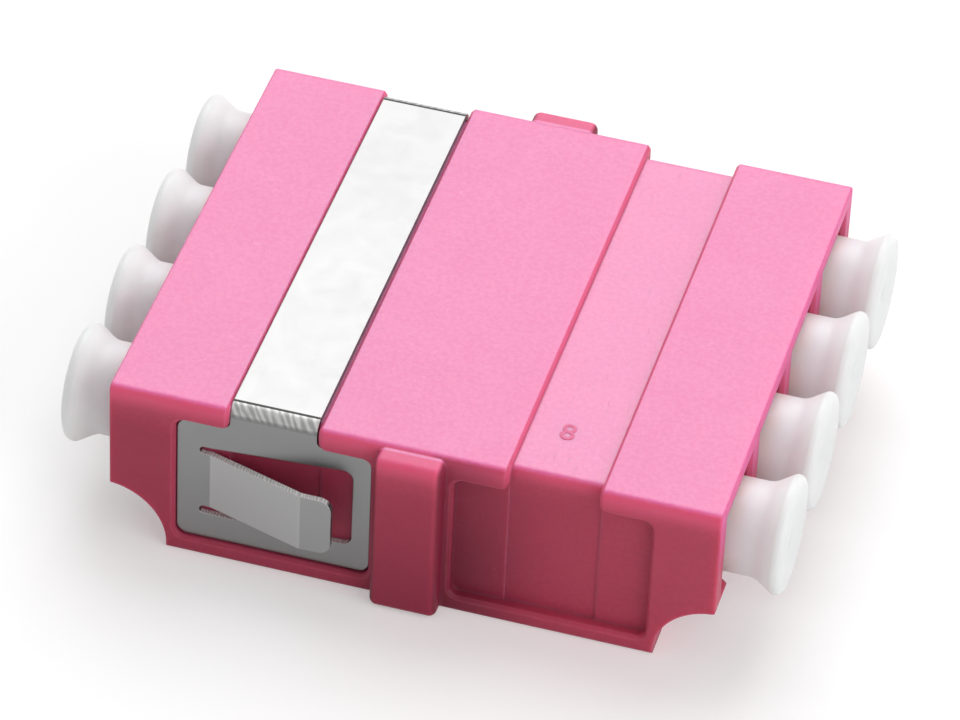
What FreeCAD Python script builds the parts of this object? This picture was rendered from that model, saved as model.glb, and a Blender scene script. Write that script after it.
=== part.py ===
import FreeCAD, Part
import math
import os

# Four-port LC fibre adapter: a moulded housing with a folded panel clip, split sleeves in
# two-part holders, and a dust cap in each of its eight ports.
#
# Millimetres. X runs along the fibres, Y across the four ports, Z up. The origin is the
# centre of the underside. The latch side of every port faces down.

Vector = FreeCAD.Vector

# ---- housing ----
BODY_LENGTH = 29.6
SIDE_WALL = 1.275            # from the outer ports to the long sides
BODY_HEIGHT = 9.3
TOP_EDGE_RADIUS = 0.4        # the two long top edges
BOTTOM_EDGE_RADIUS = 0.2     # the two long bottom edges
END_EDGE_RADIUS = 0.1        # top and side edges of both end faces
WEB_THICKNESS = 1.8          # wall across the middle that carries the sleeve holders

# ---- ports ----
PORT_COUNT = 4
PORT_PITCH = 6.25
PORT_SIZE = 4.7              # square opening for the plug's nose
PORT_AXIS_DROP = 3.35        # from the top face down to the ferrule axis
MOUTH_BEVEL = 0.2
LATCH_SLOT_WIDTH = 2.7       # room for the plug's latch arm, below the square opening
LATCH_ROOM_DEPTH = 2.2       # below the square opening, for the arm and its lugs
LATCH_SLOT_START = 3.2       # from the middle of the housing
LUG_ROOM_START = 9.0         # the chamber that the latch lugs spring into
LUG_ROOM_LENGTH = 3.1

# ---- finger scoop under each end ----
SCOOP_RADIUS = 3.04
SCOOP_OVERHANG = 0.2         # the scoop's centre lies this far outside the end face
SCOOP_CENTRE_HEIGHT = 0.3

# ---- clip channels and pockets, one set each side of the middle ----
STATION = 6.78               # centre of a clip place, from the middle of the housing
CHANNEL_WIDTH = 4.4
CHANNEL_DEPTH = 0.3
CHANNEL_EDGE_RADIUS = 0.45   # where the channel floor turns down into the side pocket
POCKET_WIDTH = 9.6
POCKET_DEPTH = 0.6
POCKET_BOTTOM = 0.85
POCKET_LIP = 1.25            # height of the lips beside the neck, below the top face
POCKET_CORNER_RADIUS = 0.5
POCKET_RIM_BEVEL = 0.15      # outer edge of the pocket
LIP_CORNER_RADIUS = 0.4      # where a lip turns up into the neck
NECK_RELIEF = 0.08           # the channel runs on down the pocket floor, this much deeper

# ---- panel stop ribs ----
RIB_WIDTH = 3.3
RIB_OUT = 1.0
RIB_BOTTOM = 0.05
RIB_TOP_DROP = 0.15
RIB_RADIUS = 0.38

# ---- panel clip, folded from sheet ----
SHEET = 0.3
BEND_RADIUS = 0.35           # inside radius of every fold
STRIP_GAP = 0.15             # channel width left free beside the strip
STRIP_SHIFT = 0.06           # the strip sits this much towards the end face
PLATE_GAP = 0.05             # all round the plate in its pocket
PLATE_CORNER_RADIUS = 0.6
NECK_CORNER_RADIUS = 0.3     # inside corners where the plate meets the strip
WINDOW_START = 1.65          # from the plate's end edge to the window
WINDOW_END = 0.87            # from the window to the plate's inner edge
WINDOW_BOTTOM = 1.48         # from the plate's lower edge
WINDOW_HEIGHT = 4.14         # at its end side
WINDOW_RISE = 0.45           # how much taller it is at its inner side
WINDOW_CORNER_RADIUS = 0.5
RELIEF_LENGTH = 0.55         # slot beside the tongue's root
TONGUE_GAP = 0.45            # width of that slot
TONGUE_SLOPE = 17.0          # degrees, out from the plate
TONGUE_REACH = 1.47          # how far the tongue's tip stands off the plate
TONGUE_TIP_LENGTH = 1.55
TONGUE_TIP_RADIUS = 0.6

# ---- split sleeve and its holder ----
FERRULE_DIAMETER = 1.249
SLEEVE_WALL = 0.185
SLEEVE_LENGTH = 6.8
SLEEVE_SLOT = 0.3
SLEEVE_CLEARANCE = 0.065     # radial, in the holder
SLEEVE_END_GAP = 0.15
HOLDER_WALL = 0.57
HOLDER_LIP_CLEARANCE = 0.0755  # radial, round the ferrule, in a mouth too small for the sleeve
HOLDER_LIP_LENGTH = 0.5
HOLDER_LIP_BEVEL = 0.15
FLANGE_THICKNESS = 0.9
FLANGE_GAP = 0.05            # all round the flange in its port
SPIGOT_WALL = 0.37
SPIGOT_CLEARANCE = 0.02      # radial, in the web

# ---- dust cap ----
CAP_CLEARANCE = 0.07         # between the round stem and the flats of the port
CAP_DEPTH = 6.3              # stem length inside the port
CAP_STEM_CHAMFER = 0.3
CAP_BORE_RADIUS = 1.5
CAP_FLOOR = 1.9              # solid end of the cap, measured from its outer face
CAP_BARREL = 1.35            # plain length outside the port
CAP_RIM_GAP = 0.49           # between the rims of two caps side by side
CAP_FLARE = 0.95             # length of the cone from the barrel out to the rim
CAP_RIM_LENGTH = 0.45
CAP_RIM_RADIUS = 0.35        # the rim's outer edge

# ---- worked out ----
body_width = (PORT_COUNT - 1) * PORT_PITCH + PORT_SIZE + 2 * SIDE_WALL
half_length = BODY_LENGTH / 2
half_width = body_width / 2
half_web = WEB_THICKNESS / 2
axis_height = BODY_HEIGHT - PORT_AXIS_DROP
latch_floor = axis_height - PORT_SIZE / 2 - LATCH_ROOM_DEPTH
channel_floor = BODY_HEIGHT - CHANNEL_DEPTH
pocket_top = BODY_HEIGHT - POCKET_LIP
pocket_wall = half_width - POCKET_DEPTH
sleeve_radius = FERRULE_DIAMETER / 2 + SLEEVE_WALL
holder_bore = sleeve_radius + SLEEVE_CLEARANCE
holder_lip = FERRULE_DIAMETER / 2 + HOLDER_LIP_CLEARANCE
spigot_radius = holder_bore + SPIGOT_WALL
port_places = [(i - (PORT_COUNT - 1) / 2) * PORT_PITCH for i in range(PORT_COUNT)]


# ---- drawing helpers ----

def box(x0, x1, y0, y1, z0, z1):
    """A box between two corners."""
    return Part.makeBox(x1 - x0, y1 - y0, z1 - z0, Vector(x0, y0, z0))


def rounded_corner(before, corner, after, radius):
    """The start, middle and end of the arc that rounds a corner between two straight runs."""
    back = (before - corner).normalize()
    ahead = (after - corner).normalize()
    half_angle = back.getAngle(ahead) / 2
    tangent = radius / math.tan(half_angle)
    bisector = (back + ahead).normalize()
    middle = corner + bisector * (radius / math.sin(half_angle) - radius)
    return corner + back * tangent, middle, corner + ahead * tangent


def rounded_wire(corners, closed=True):
    """A wire through (point, corner radius) pairs, with an arc at each corner that has a radius."""
    count = len(corners)
    runs = []
    for i, (point, radius) in enumerate(corners):
        at_end = not closed and i in (0, count - 1)
        if radius and not at_end:
            before = corners[i - 1][0]
            after = corners[(i + 1) % count][0]
            runs.append(rounded_corner(before, point, after, radius))
        else:
            runs.append((point, None, point))
    edges = []
    for i, (start, middle, end) in enumerate(runs):
        if middle:
            edges.append(Part.Arc(start, middle, end).toShape())
        last = i == count - 1
        following = runs[(i + 1) % count][0]
        if not (last and not closed) and end.distanceToPoint(following) > 1e-6:
            edges.append(Part.makeLine(end, following))
    return Part.Wire(edges)


def plate(corners, along):
    """A closed outline extruded by a vector."""
    return Part.Face(rounded_wire(corners)).extrude(along)


def square_across_x(size, x, y):
    """Corners of a square across the fibre axis of the port at y."""
    half = size / 2
    return [(Vector(x, y + side * half, axis_height + rise * half), 0)
            for side, rise in ((-1, -1), (1, -1), (1, 1), (-1, 1))]


def turned(profile, y):
    """A profile of (x, radius) edges turned about the fibre axis of the port at y."""
    solid = Part.Face(Part.Wire(profile)).revolve(Vector(0, 0, 0), Vector(1, 0, 0), 360)
    solid.translate(Vector(0, y, axis_height))
    return solid


def profile_lines(points):
    """Straight edges through (x, radius) points."""
    return [Part.makeLine(Vector(*a, 0), Vector(*b, 0)) for a, b in zip(points, points[1:])]


def tube(inner, outer, x0, x1, y):
    """A plain ring of material about the fibre axis of the port at y."""
    return turned(profile_lines([(x0, inner), (x1, inner), (x1, outer), (x0, outer), (x0, inner)]), y)


def other_half(shape):
    """The same shape on the other side of the housing's middle web."""
    return shape.mirror(Vector(0, 0, 0), Vector(1, 0, 0))


def other_side(shape):
    """The same shape on the other long side of the housing."""
    return shape.mirror(Vector(0, 0, 0), Vector(0, 1, 0))


def turned_round(shape, y):
    """The same piece, fitted to the port at y from the other end."""
    copy = shape.copy()
    copy.rotate(Vector(0, y, 0), Vector(0, 0, 1), 180)
    return copy


# ---- housing ----

def shell_block():
    """The outer block, with its long edges and end edges rounded."""
    block = box(-half_length, half_length, -half_width, half_width, 0, BODY_HEIGHT)

    def long_edges(height):
        return [e for e in block.Edges
                if abs(e.BoundBox.XLength - BODY_LENGTH) < 0.01 and abs(e.CenterOfMass.z - height) < 0.01]

    block = block.makeFillet(TOP_EDGE_RADIUS, long_edges(BODY_HEIGHT))
    block = block.makeFillet(BOTTOM_EDGE_RADIUS, long_edges(0))
    end_edges = [e for e in block.Edges
                 if e.BoundBox.XLength < 0.01 and e.CenterOfMass.z > BODY_HEIGHT / 2 - 0.5]
    return block.makeFillet(END_EDGE_RADIUS, end_edges)


def scoop():
    """The concave hollow under the +X end, cut right across."""
    centre = Vector(half_length + SCOOP_OVERHANG, -half_width - 1, SCOOP_CENTRE_HEIGHT)
    return Part.makeCylinder(SCOOP_RADIUS, body_width + 2, centre, Vector(0, 1, 0))


def clip_channel():
    """The shallow channel across the top, its floor rounded over into both side pockets."""
    x0 = STATION - CHANNEL_WIDTH / 2
    above = BODY_HEIGHT + 1
    outside = half_width + 1
    wall = pocket_wall - NECK_RELIEF
    inside = [
        (Vector(x0, -outside, above), 0),
        (Vector(x0, -outside, POCKET_BOTTOM), 0),
        (Vector(x0, -wall, POCKET_BOTTOM), 0),
        (Vector(x0, -wall, channel_floor), CHANNEL_EDGE_RADIUS),
        (Vector(x0, wall, channel_floor), CHANNEL_EDGE_RADIUS),
        (Vector(x0, wall, POCKET_BOTTOM), 0),
        (Vector(x0, outside, POCKET_BOTTOM), 0),
        (Vector(x0, outside, above), 0),
    ]
    return plate(inside, Vector(CHANNEL_WIDTH, 0, 0))


def side_pocket():
    """The recess in the near side that the clip's plate lies in, with a neck up to the channel."""
    left = STATION - POCKET_WIDTH / 2
    right = STATION + POCKET_WIDTH / 2
    neck_left = STATION - CHANNEL_WIDTH / 2
    neck_right = STATION + CHANNEL_WIDTH / 2
    above = BODY_HEIGHT + 1
    front = -half_width - 1
    outline = [
        (Vector(left, front, POCKET_BOTTOM), POCKET_CORNER_RADIUS),
        (Vector(right, front, POCKET_BOTTOM), POCKET_CORNER_RADIUS),
        (Vector(right, front, pocket_top), POCKET_CORNER_RADIUS),
        (Vector(neck_right, front, pocket_top), LIP_CORNER_RADIUS),
        (Vector(neck_right, front, above), 0),
        (Vector(neck_left, front, above), 0),
        (Vector(neck_left, front, pocket_top), LIP_CORNER_RADIUS),
        (Vector(left, front, pocket_top), POCKET_CORNER_RADIUS),
    ]
    return plate(outline, Vector(0, POCKET_DEPTH + 1, 0))


def panel_stop():
    """The upright rib on the near side that stops against the panel."""
    root = half_width - 1
    rib = box(-RIB_WIDTH / 2, RIB_WIDTH / 2, -half_width - RIB_OUT, -root, RIB_BOTTOM, BODY_HEIGHT - RIB_TOP_DROP)
    outer_edges = [e for e in rib.Edges if e.BoundBox.YMin < -root - 0.01]
    return rib.makeFillet(RIB_RADIUS, outer_edges)


def port(y):
    """Everything cut out for one port at the +X end."""
    past_end = half_length + 1
    square = plate(square_across_x(PORT_SIZE, half_web, y), Vector(past_end - half_web, 0, 0))
    mouth = Part.makeLoft([
        rounded_wire(square_across_x(PORT_SIZE, half_length - MOUTH_BEVEL, y)),
        rounded_wire(square_across_x(PORT_SIZE + 2 * MOUTH_BEVEL, half_length, y)),
    ], True, True)
    half_slot = LATCH_SLOT_WIDTH / 2
    latch_slot = box(LATCH_SLOT_START, past_end, y - half_slot, y + half_slot, latch_floor, axis_height)
    half_port = PORT_SIZE / 2
    lug_room = box(LUG_ROOM_START, LUG_ROOM_START + LUG_ROOM_LENGTH, y - half_port, y + half_port,
                   latch_floor, axis_height)
    return square.fuse([mouth, latch_slot, lug_room])


def web_hole(y):
    """The round hole through the middle web that both holders' spigots enter."""
    radius = spigot_radius + SPIGOT_CLEARANCE
    start = Vector(-half_web - 0.1, y, axis_height)
    return Part.makeCylinder(radius, WEB_THICKNESS + 0.2, start, Vector(1, 0, 0))


def adapter_body():
    """The moulded housing, one piece."""
    half_cuts = [scoop(), clip_channel(), side_pocket(), other_side(side_pocket())]
    half_cuts += [port(y) for y in port_places]
    cuts = half_cuts + [other_half(c) for c in half_cuts] + [web_hole(y) for y in port_places]
    stop = panel_stop()
    body = shell_block().fuse([stop, other_side(stop)]).cut(cuts).removeSplitter()
    return body.makeChamfer(POCKET_RIM_BEVEL, pocket_rims(body))


def pocket_rims(body):
    """The outer edges of all four side pockets, from lip corner to lip corner."""
    tall = pocket_top - POCKET_BOTTOM
    return [e for e in body.Edges
            if abs(abs(e.BoundBox.Center.y) - half_width) < 0.01 and e.BoundBox.YLength < 0.01
            and abs(abs(e.BoundBox.Center.x) - STATION) < POCKET_WIDTH / 2 + 0.01
            and e.BoundBox.ZMin > POCKET_BOTTOM - 0.01 and e.BoundBox.ZMax < pocket_top + 0.01
            and e.BoundBox.ZLength < tall]


# ---- panel clip ----

def strip_edges():
    """The x of both edges of the clip's strip."""
    middle = -STATION - STRIP_SHIFT
    half = (CHANNEL_WIDTH - STRIP_GAP) / 2
    return middle - half, middle + half


def clip_strip():
    """The strip over the top, with a fold down to the side plate at each end."""
    left, right = strip_edges()
    top = channel_floor + SHEET
    side = pocket_wall + SHEET
    fold = channel_floor - BEND_RADIUS
    section = [
        (Vector(left, -pocket_wall, fold), 0),
        (Vector(left, -pocket_wall, channel_floor), BEND_RADIUS),
        (Vector(left, pocket_wall, channel_floor), BEND_RADIUS),
        (Vector(left, pocket_wall, fold), 0),
        (Vector(left, side, fold), 0),
        (Vector(left, side, top), BEND_RADIUS + SHEET),
        (Vector(left, -side, top), BEND_RADIUS + SHEET),
        (Vector(left, -side, fold), 0),
    ]
    return plate(section, Vector(right - left, 0, 0))


def clip_side():
    """The near side plate, up to the fold, and the window and spring tongue that it carries."""
    neck_left, neck_right = strip_edges()
    left = -STATION - POCKET_WIDTH / 2 + PLATE_GAP
    right = -STATION + POCKET_WIDTH / 2 - PLATE_GAP
    foot = POCKET_BOTTOM + PLATE_GAP
    head = pocket_top - PLATE_GAP
    fold = channel_floor - BEND_RADIUS
    face = -pocket_wall - SHEET
    outline = [
        (Vector(left, face, foot), PLATE_CORNER_RADIUS),
        (Vector(right, face, foot), PLATE_CORNER_RADIUS),
        (Vector(right, face, head), PLATE_CORNER_RADIUS),
        (Vector(neck_right, face, head), NECK_CORNER_RADIUS),
        (Vector(neck_right, face, fold), 0),
        (Vector(neck_left, face, fold), 0),
        (Vector(neck_left, face, head), NECK_CORNER_RADIUS),
        (Vector(left, face, head), PLATE_CORNER_RADIUS),
    ]
    side = plate(outline, Vector(0, SHEET, 0))
    window = clip_window(left, right, foot)
    tongue = clip_tongue(left + WINDOW_START, foot + WINDOW_BOTTOM + TONGUE_GAP)
    return side.cut(window).fuse(tongue)


def clip_window(left, right, foot):
    """The window round the tongue, with a relief slot above and below the tongue's root."""
    deep = Vector(0, SHEET + 2, 0)
    y = -pocket_wall - SHEET - 1
    start = left + WINDOW_START
    end = right - WINDOW_END
    bottom = foot + WINDOW_BOTTOM
    top = bottom + WINDOW_HEIGHT
    window = plate([
        (Vector(start, y, bottom), 0),
        (Vector(end, y, bottom), WINDOW_CORNER_RADIUS),
        (Vector(end, y, top + WINDOW_RISE), WINDOW_CORNER_RADIUS),
        (Vector(start, y, top), 0),
    ], deep)
    half_gap = TONGUE_GAP / 2
    reliefs = []
    for middle in (bottom + half_gap, top - half_gap):
        tip = start - RELIEF_LENGTH + half_gap
        reliefs.append(box(tip, start + 0.01, y, y + deep.y, middle - half_gap, middle + half_gap))
        reliefs.append(Part.makeCylinder(half_gap, deep.y, Vector(tip, y, middle), Vector(0, 1, 0)))
    return window.fuse(reliefs)


def clip_tongue(root, bottom):
    """The spring tongue: it leaves the plate at its root, slopes out and ends in a flat tip."""
    height = WINDOW_HEIGHT - 2 * TONGUE_GAP
    slope_length = TONGUE_REACH / math.tan(math.radians(TONGUE_SLOPE))
    near = -pocket_wall - SHEET
    far = near - TONGUE_REACH
    start = root - RELIEF_LENGTH
    tip = root + slope_length + TONGUE_TIP_LENGTH
    half_turn = math.tan(math.radians(TONGUE_SLOPE) / 2)
    shift = SHEET * half_turn
    outside = [
        (Vector(start, near, bottom), 0),
        (Vector(root, near, bottom), BEND_RADIUS),
        (Vector(root + slope_length, far, bottom), BEND_RADIUS + SHEET),
        (Vector(tip, far, bottom), 0),
    ]
    inside = [
        (Vector(tip, far + SHEET, bottom), 0),
        (Vector(root + slope_length + shift, far + SHEET, bottom), BEND_RADIUS),
        (Vector(root + shift, near + SHEET, bottom), BEND_RADIUS + SHEET),
        (Vector(start, near + SHEET, bottom), 0),
    ]
    strip = plate(outside + inside, Vector(0, 0, height))
    tip_edges = [e for e in strip.Edges
                 if e.BoundBox.YLength > SHEET / 2 and abs(e.CenterOfMass.x - tip) < 0.01
                 and e.BoundBox.ZLength < 0.01]
    return strip.makeFillet(TONGUE_TIP_RADIUS, tip_edges)


def panel_clip():
    """The whole clip, one folded piece of spring sheet."""
    side = clip_side()
    return clip_strip().fuse([side, other_side(side)]).removeSplitter()


# ---- split sleeve and holder ----

def split_sleeve(y):
    """The ceramic sleeve that lines up two ferrules, slit along its top."""
    half = SLEEVE_LENGTH / 2
    sleeve = tube(FERRULE_DIAMETER / 2, sleeve_radius, -half, half, y)
    slot = box(-half - 1, half + 1, y - SLEEVE_SLOT / 2, y + SLEEVE_SLOT / 2,
               axis_height, axis_height + sleeve_radius + 1)
    return sleeve.cut(slot)


def sleeve_holder(y):
    """The +X half of a sleeve holder: spigot in the web, square flange, barrel with an end lip."""
    lip_start = SLEEVE_LENGTH / 2 + SLEEVE_END_GAP
    tip = lip_start + HOLDER_LIP_LENGTH
    barrel = holder_bore + HOLDER_WALL
    turning = turned(profile_lines([
        (0, holder_bore),
        (lip_start, holder_bore),
        (lip_start, holder_lip),
        (tip - HOLDER_LIP_BEVEL, holder_lip),
        (tip, holder_lip + HOLDER_LIP_BEVEL),
        (tip, barrel),
        (half_web, barrel),
        (half_web, spigot_radius),
        (0, spigot_radius),
        (0, holder_bore),
    ]), y)
    flange_size = PORT_SIZE - 2 * FLANGE_GAP
    flange = plate(square_across_x(flange_size, half_web, y), Vector(FLANGE_THICKNESS, 0, 0))
    bore = Part.makeCylinder(holder_bore, FLANGE_THICKNESS, Vector(half_web, y, axis_height), Vector(1, 0, 0))
    return turning.fuse(flange.cut(bore)).removeSplitter()


# ---- dust cap ----

def dust_cap(y):
    """A cap in the port at y, +X end: hollow round stem, short barrel, and a rim on a cone."""
    stem = PORT_SIZE / 2 - CAP_CLEARANCE
    rim = (PORT_PITCH - CAP_RIM_GAP) / 2
    inner_end = half_length - CAP_DEPTH
    flare_start = half_length + CAP_BARREL
    flare_end = flare_start + CAP_FLARE
    face = flare_end + CAP_RIM_LENGTH
    bore_end = face - CAP_FLOOR
    outline = rounded_wire([
        (Vector(inner_end, CAP_BORE_RADIUS), 0),
        (Vector(inner_end, stem - CAP_STEM_CHAMFER), 0),
        (Vector(inner_end + CAP_STEM_CHAMFER, stem), 0),
        (Vector(flare_start, stem), 0),
        (Vector(flare_end, rim), 0),
        (Vector(face, rim), CAP_RIM_RADIUS),
        (Vector(face, 0), 0),
        (Vector(bore_end, 0), 0),
        (Vector(bore_end, CAP_BORE_RADIUS), 0),
    ])
    return turned(outline.Edges, y)


# ---- all pieces ----

def pieces():
    """Every piece by its node name."""
    made = {"adapter_body": adapter_body(), "panel_clip": panel_clip()}
    for number, y in enumerate(port_places, start=1):
        holder = sleeve_holder(y)
        cap = dust_cap(y)
        made[f"sleeve_{number}"] = split_sleeve(y)
        made[f"sleeve_holder_right_{number}"] = holder
        made[f"sleeve_holder_left_{number}"] = turned_round(holder, y)
        made[f"dust_cap_right_{number}"] = cap
        made[f"dust_cap_left_{number}"] = turned_round(cap, y)
    return made


os.makedirs("parts", exist_ok=True)
for name, shape in pieces().items():
    solid = shape.Solids[0]
    solid.exportStep(f"parts/{name}.step")
    print(f"{name}: {len(shape.Solids)} solid, valid {shape.isValid()}, {solid.Volume:.3f} mm3")
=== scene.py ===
import math
from types import SimpleNamespace

import bmesh
import bpy
from bpy.props import FloatProperty, FloatVectorProperty, IntProperty, PointerProperty
from bpy.types import Operator, Panel, PropertyGroup, Scene
from mathutils import Matrix, Vector


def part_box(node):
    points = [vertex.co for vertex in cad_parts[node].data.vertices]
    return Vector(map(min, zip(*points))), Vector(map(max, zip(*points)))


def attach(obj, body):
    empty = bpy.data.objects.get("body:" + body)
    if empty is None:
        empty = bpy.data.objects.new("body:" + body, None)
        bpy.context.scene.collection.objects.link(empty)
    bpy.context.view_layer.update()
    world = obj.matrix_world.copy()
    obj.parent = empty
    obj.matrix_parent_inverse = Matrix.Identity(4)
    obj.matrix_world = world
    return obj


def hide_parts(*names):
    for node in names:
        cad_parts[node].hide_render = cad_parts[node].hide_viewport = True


bl_info = {
    "name": "Fibre adapter",
    "version": (1, 0, 0),
    "blender": (4, 5, 0),
    "location": "3D View > Sidebar > Adapter",
    "description": "Finishes, dust caps and studio for a four-port fibre adapter with a panel clip",
    "category": "Object",
}

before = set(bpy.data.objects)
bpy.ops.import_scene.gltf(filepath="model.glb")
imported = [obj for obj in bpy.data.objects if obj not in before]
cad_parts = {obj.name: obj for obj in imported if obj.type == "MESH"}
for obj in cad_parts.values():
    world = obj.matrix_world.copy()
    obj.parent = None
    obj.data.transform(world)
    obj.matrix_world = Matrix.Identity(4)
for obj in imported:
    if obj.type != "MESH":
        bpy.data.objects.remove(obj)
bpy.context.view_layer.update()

MM = 0.001
PORTS = (1, 2, 3, 4)
SIDE_TURNS = {"left": math.pi, "right": 0.0}

HOUSING = "adapter_body"
CLIP = "panel_clip"
housing_low, housing_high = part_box(HOUSING)
clip_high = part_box(CLIP)[1]
cap_low, cap_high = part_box("dust_cap_right_1")
cap_rim_radius = (cap_high.z - cap_low.z) / 2

FIGURE_SHARE = 0.7                   # a figure's height, as a share of its font's size
SMOOTH_ANGLE = math.radians(28)      # CAD faces that meet at less are shaded as one
WHITE = (1.0, 1.0, 1.0)
NUMBER, PLACE = "NodeSocketFloat", "NodeSocketVector"


# ---- node helpers ----

def is_socket(value):
    """Whether a value comes from a node."""
    return isinstance(value, bpy.types.NodeSocket)


def plug(tree, socket, value):
    """Links a socket to another node's output, or sets its plain value."""
    if is_socket(value):
        tree.links.new(value, socket)
    else:
        socket.default_value = value


def add(tree, kind, inputs=None, **settings):
    """A node of this kind with its settings, and its inputs by name or number."""
    made = tree.nodes.new(kind)
    for name, value in settings.items():
        setattr(made, name, value)
    for key, value in (inputs or {}).items():
        plug(tree, made.inputs[key], value)
    return made


def calc(tree, operation, a, b=0.0):
    """The result of one sum on two numbers."""
    return add(tree, "ShaderNodeMath", {0: a, 1: b}, operation=operation).outputs[0]


def unsigned(tree, value):
    """A number without its sign."""
    return calc(tree, "ABSOLUTE", value)


def product(tree, first, *others):
    """Several numbers multiplied together."""
    for other in others:
        first = calc(tree, "MULTIPLY", first, other)
    return first


def changed(tree, base, *changes):
    """A number that changes with each (mask, amount) in turn."""
    for mask, amount in changes:
        base = calc(tree, "ADD", base, product(tree, mask, amount))
    return base


def fade(tree, value, start, end, low=0.0, high=1.0):
    """Smoothly from low to high as the value goes from start to end."""
    ends = {"Value": value, "From Min": start, "From Max": end, "To Min": low, "To Max": high}
    return add(tree, "ShaderNodeMapRange", ends, interpolation_type="SMOOTHSTEP").outputs[0]


def between(tree, mask, low, high):
    """Smoothly from low to high as a mask goes from 0 to 1."""
    return fade(tree, mask, 0.0, 1.0, low, high)


def opaque(colour):
    """A plain colour with its fourth number. One that comes from a node stays as it is."""
    return colour if is_socket(colour) else (*colour, 1.0)


def tint(tree, amount, under, over):
    """One colour laid over another by an amount."""
    return add(tree, "ShaderNodeMix", {0: amount, 6: opaque(under), 7: opaque(over)},
               data_type="RGBA").outputs[2]


def layered(tree, base, *layers):
    """A colour with others laid over it in turn, each as (colour, mask, strength)."""
    for over, mask, strength in layers:
        base = tint(tree, product(tree, mask, strength), base, over)
    return base


def stretched(tree, places, scale):
    """Places multiplied by a scale for each axis."""
    return add(tree, "ShaderNodeVectorMath", {0: places, 1: scale}, operation="MULTIPLY").outputs[0]


def noise(tree, places, scale=1.0, detail=2.0, roughness=0.5, distortion=0.0):
    """A smooth random number at each place."""
    return add(tree, "ShaderNodeTexNoise",
               {"Vector": places, "Scale": scale, "Detail": detail, "Roughness": roughness,
                "Distortion": distortion}).outputs[0]


def axes(tree, places):
    """The three numbers of a place or direction."""
    return add(tree, "ShaderNodeSeparateXYZ", {0: places}).outputs


def own_places(tree):
    """Places on the piece itself."""
    return tree.nodes.new("ShaderNodeTexCoord").outputs["Object"]


def millimetres(tree):
    """Places on the piece itself, in millimetres."""
    return stretched(tree, own_places(tree), (1 / MM, 1 / MM, 1 / MM))


def own_normal(tree):
    """The way that the surface faces."""
    return tree.nodes.new("ShaderNodeNewGeometry").outputs["Normal"]


def new_group(name, inputs, outputs):
    """An empty shader group with named sockets, as (tree, its inputs, its output node)."""
    tree = bpy.data.node_groups.new(name, "ShaderNodeTree")
    for label, kind, default in inputs:
        tree.interface.new_socket(label, in_out="INPUT", socket_type=kind).default_value = default
    for label, kind in outputs:
        tree.interface.new_socket(label, in_out="OUTPUT", socket_type=kind)
    return tree, tree.nodes.new("NodeGroupInput").outputs, tree.nodes.new("NodeGroupOutput")


def feed(tree, sockets, values):
    """Feeds named sockets from a dictionary, whose names may have _ for a space."""
    for label, value in values.items():
        plug(tree, sockets[label.replace("_", " ")], value)


# ---- shared effects ----

def edges_and_corners():
    """Outside edges, inside corners, and a normal with softened edges."""
    tree, given, made = new_group(
        "Edges and corners",
        [("Edge Radius", NUMBER, 0.1 * MM), ("Corner Reach", NUMBER, 0.8 * MM), ("Breakup", NUMBER, 2.0)],
        [("Edge", NUMBER), ("Corner", NUMBER), ("Normal", PLACE)],
    )
    soft = add(tree, "ShaderNodeBevel", {"Radius": given["Edge Radius"]}, samples=6).outputs[0]
    same = add(tree, "ShaderNodeVectorMath", {0: soft, 1: own_normal(tree)},
               operation="DOT_PRODUCT").outputs["Value"]
    # Corner is how hidden a place is from open sky, and the materials darken their colour with it as
    # painted shade.
    open_sky = add(tree, "ShaderNodeAmbientOcclusion", {"Distance": given["Corner Reach"]},
                   samples=6, only_local=True).outputs["AO"]
    turn = fade(tree, same, 0.995, 0.80)
    patchy = noise(tree, millimetres(tree), given["Breakup"], detail=3.0)
    worn = fade(tree, patchy, 0.3, 0.65, 0.45, 1.0)
    feed(tree, made.inputs, {
        "Edge": product(tree, turn, worn, fade(tree, open_sky, 0.55, 0.9)),
        "Corner": fade(tree, open_sky, 0.85, 0.25),
        "Normal": soft,
    })
    return tree


def moulded_skin():
    """The skin of a moulded part: slow flow of colour, small pale and dark specks, and fine grain."""
    tree, given, made = new_group(
        "Moulded skin",
        [("Flow Size", NUMBER, 5.0), ("Speck Size", NUMBER, 0.3), ("Grain Size", NUMBER, 0.08)],
        [("Flow", NUMBER), ("Tone", NUMBER), ("Pale Specks", NUMBER), ("Dark Specks", NUMBER),
         ("Height", NUMBER)],
    )
    places = millimetres(tree)

    def sized(label, finer=1.0, **settings):
        """Noise with patches of the size that this input gives, or this many times finer."""
        return noise(tree, places, calc(tree, "DIVIDE", finer, given[label]), **settings)

    slow = fade(tree, sized("Flow Size", detail=4.0, roughness=0.6, distortion=1.2), 0.3, 0.7)
    specks = sized("Speck Size", roughness=0.55, distortion=1.5)
    patches = fade(tree, sized("Flow Size", 0.9), 0.4, 0.62)
    mottle = fade(tree, sized("Speck Size", 1.4, detail=3.0, roughness=0.6), 0.32, 0.68)
    grain = sized("Grain Size", detail=3.0, roughness=0.7)
    feed(tree, made.inputs, {
        "Flow": slow,
        "Tone": changed(tree, product(tree, slow, 0.3), (mottle, 0.7)),
        "Pale Specks": product(tree, fade(tree, specks, 0.6, 0.72), patches),
        "Dark Specks": product(tree, fade(tree, specks, 0.4, 0.28), patches),
        "Height": changed(tree, grain, (specks, 0.8)),
    })
    return tree


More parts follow.
